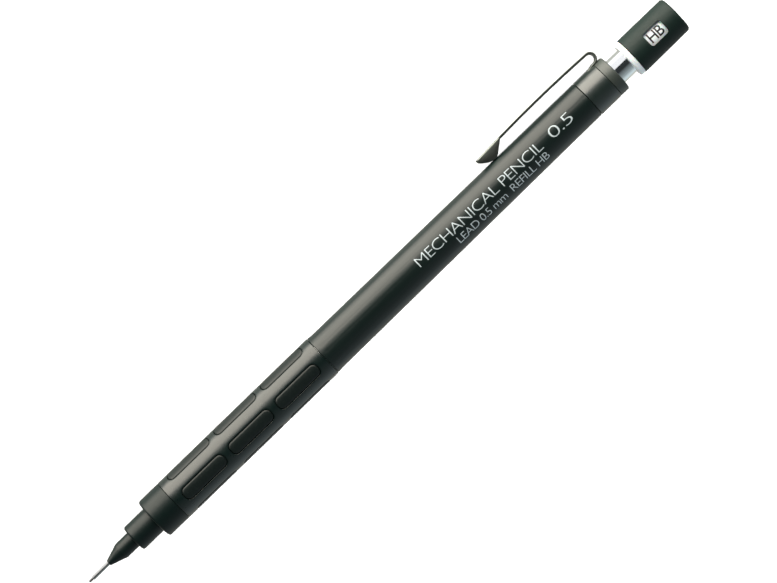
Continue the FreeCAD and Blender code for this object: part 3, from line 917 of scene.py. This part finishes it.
# What surrounds the pencil: a radiance for some values of a direction's Y. The key light is at +Y.
SKY = ((-1.0, 0.78), (-0.8, 0.42), (-0.5, 0.26), (-0.15, 0.15), (0.1, 0.035))
SKY_TINT = (0.85, 1.0, 1.02)
# The table's radiance, and the Z at which a downward direction sees only the table.
TABLE = 0.62
TABLE_TINT = (0.98, 1.0, 0.90)
TABLE_Z = -0.25


def make_camera():
    """Looks square at the window's side of the pencil, which runs up to the right."""
    right = ALONG * math.cos(AXIS_TILT) - TO_CLIP * math.sin(AXIS_TILT)
    up = ALONG * math.sin(AXIS_TILT) + TO_CLIP * math.cos(AXIS_TILT)
    middle = Vector((0, AXIS_POINT.y, AXIS_POINT.z))
    aim = middle + right * AIM_RIGHT + up * AIM_UP
    data = bpy.data.cameras.new("camera")
    data.sensor_width = 36
    data.lens = data.sensor_width * CAMERA_DISTANCE / FIELD_WIDTH
    data.clip_start, data.clip_end = 0.01, 20
    camera = bpy.data.objects.new("camera", data)
    turn = Matrix((right, up, TO_WINDOW)).transposed().to_4x4()
    camera.matrix_world = Matrix.Translation(aim + TO_WINDOW * CAMERA_DISTANCE) @ turn
    bpy.context.scene.collection.objects.link(camera)
    bpy.context.scene.camera = camera


def make_floor():
    """A white floor that is seen, but that takes no part in reflections, bounced light or shadows."""
    mesh = bpy.data.meshes.new("floor")
    corners = [(x * FLOOR_HALF, y * FLOOR_HALF, 0) for x, y in ((-1, -1), (1, -1), (1, 1), (-1, 1))]
    mesh.from_pydata(corners, [], [(0, 1, 2, 3)])
    floor = bpy.data.objects.new("floor", mesh)
    bpy.context.scene.collection.objects.link(floor)
    finish = Finish("floor_finish", roughness=0.8, specular_ior_level=0.1)
    finish.color((0.9, 0.9, 0.9))
    mesh.materials.append(finish.material)
    floor.visible_glossy = False
    floor.visible_diffuse = False
    floor.visible_shadow = False
    floor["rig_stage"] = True
    return floor


def softbox(name, place_at, size, radiance, color=(1, 1, 1)):
    """An area light of a given brightness that faces the middle of the pencil."""
    data = bpy.data.lights.new(name, "AREA")
    data.shape = "RECTANGLE"
    data.size, data.size_y = size
    data.energy = radiance * math.pi * size[0] * size[1]
    data.color = color
    light = bpy.data.objects.new(name, data)
    light.location = place_at
    light.rotation_mode = "QUATERNION"
    light.rotation_quaternion = Vector(place_at).to_track_quat("Z", "Y")
    light.visible_camera = False
    bpy.context.scene.collection.objects.link(light)
    return light


def shade_from(light, nodes):
    """Keeps a light off polished nodes, which would show it as a glare."""
    kept_off = bpy.data.collections.new("kept_off_" + light.name)
    for node in nodes:
        kept_off.objects.link(frame["nodes"][node])
    for member in kept_off.collection_objects:
        member.light_linking.link_state = "EXCLUDE"
    light.light_linking.receiver_collection = kept_off


def light_only(light, pieces):
    """Makes a light reach these pieces alone."""
    lit = bpy.data.collections.new("lit_by_" + light.name)
    for piece in pieces:
        lit.objects.link(piece)
    light.light_linking.receiver_collection = lit
    return lit


def light_floor(floor):
    """A soft sun for the floor alone, so that it is white all over."""
    data = bpy.data.lights.new("floor_light", "SUN")
    data.energy = FLOOR_SUN
    data.angle = FLOOR_SUN_ANGLE
    sun = bpy.data.objects.new("floor_light", data)
    bpy.context.scene.collection.objects.link(sun)
    sun.light_linking.blocker_collection = light_only(sun, [floor])


def surroundings(nodes, links):
    """The colour that the pencil sees: the sky by a direction's Y, and the table in place of it below."""
    direction = nodes.new("ShaderNodeSeparateXYZ")
    links.new(nodes.new("ShaderNodeTexCoord").outputs["Generated"], direction.inputs[0])
    sky_share = nodes.new("ShaderNodeMapRange")
    sky_share.inputs["From Min"].default_value = -1.0
    links.new(direction.outputs["Y"], sky_share.inputs["Value"])
    ramp = nodes.new("ShaderNodeValToRGB")
    links.new(sky_share.outputs[0], ramp.inputs[0])
    while len(ramp.color_ramp.elements) < len(SKY):
        ramp.color_ramp.elements.new(0.5)
    for element, (y, radiance) in zip(ramp.color_ramp.elements, SKY):
        element.position = (y + 1) / 2
        element.color = [radiance * channel for channel in SKY_TINT] + [1]
    table_share = nodes.new("ShaderNodeMapRange")
    table_share.inputs["From Min"].default_value = 0.0
    table_share.inputs["From Max"].default_value = TABLE_Z
    links.new(direction.outputs["Z"], table_share.inputs["Value"])
    blend = nodes.new("ShaderNodeMix")
    blend.data_type = "RGBA"
    links.new(table_share.outputs[0], blend.inputs["Factor"])
    links.new(ramp.outputs[0], blend.inputs[6])
    blend.inputs[7].default_value = [TABLE * channel for channel in TABLE_TINT] + [1]
    return blend.outputs[2]


def make_world():
    """White to the camera; to the pencil, dark on the key light's side, brighter below and opposite."""
    world = bpy.data.worlds.new("studio")
    bpy.context.scene.world = world
    world.use_nodes = True
    nodes, links = world.node_tree.nodes, world.node_tree.links
    around_pencil = nodes["Background"]
    links.new(surroundings(nodes, links), around_pencil.inputs["Color"])
    seen = nodes.new("ShaderNodeBackground")
    seen.inputs["Color"].default_value = (1, 1, 1, 1)
    path = nodes.new("ShaderNodeLightPath")
    mix = nodes.new("ShaderNodeMixShader")
    links.new(path.outputs["Is Camera Ray"], mix.inputs[0])
    links.new(around_pencil.outputs[0], mix.inputs[1])
    links.new(seen.outputs[0], mix.inputs[2])
    links.new(mix.outputs[0], nodes["World Output"].inputs["Surface"])


def make_studio():
    """The camera, the floor and all the light."""
    bpy.context.scene.view_settings.view_transform = "Standard"
    make_camera()
    light_floor(make_floor())
    make_world()
    key = softbox("key", (0.10, 0.50, 0.02), size=(1.2, 0.60), radiance=5.2, color=KEY_COLOR)
    softbox("key_spread", (0.10, 0.52, 0.02), size=(1.5, 1.0), radiance=1.02)
    shade_from(key, ("pusher_tube", "guide_pipe"))
    fill = softbox("fill", (0.0, -0.40, 0.40), size=(0.8, 0.5), radiance=0.9)
    light_only(fill, [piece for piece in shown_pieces() if piece.get("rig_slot") == "white_plastic"])


# ---------------------------------------------------------------- making

materials = make_materials()
dress_nodes(materials)
soften_nodes(materials)
grip_shell(materials)
grip_pads(materials)
clip_strip(materials)
coil_spring(materials)
barrel_print()
drum_print()
make_studio()
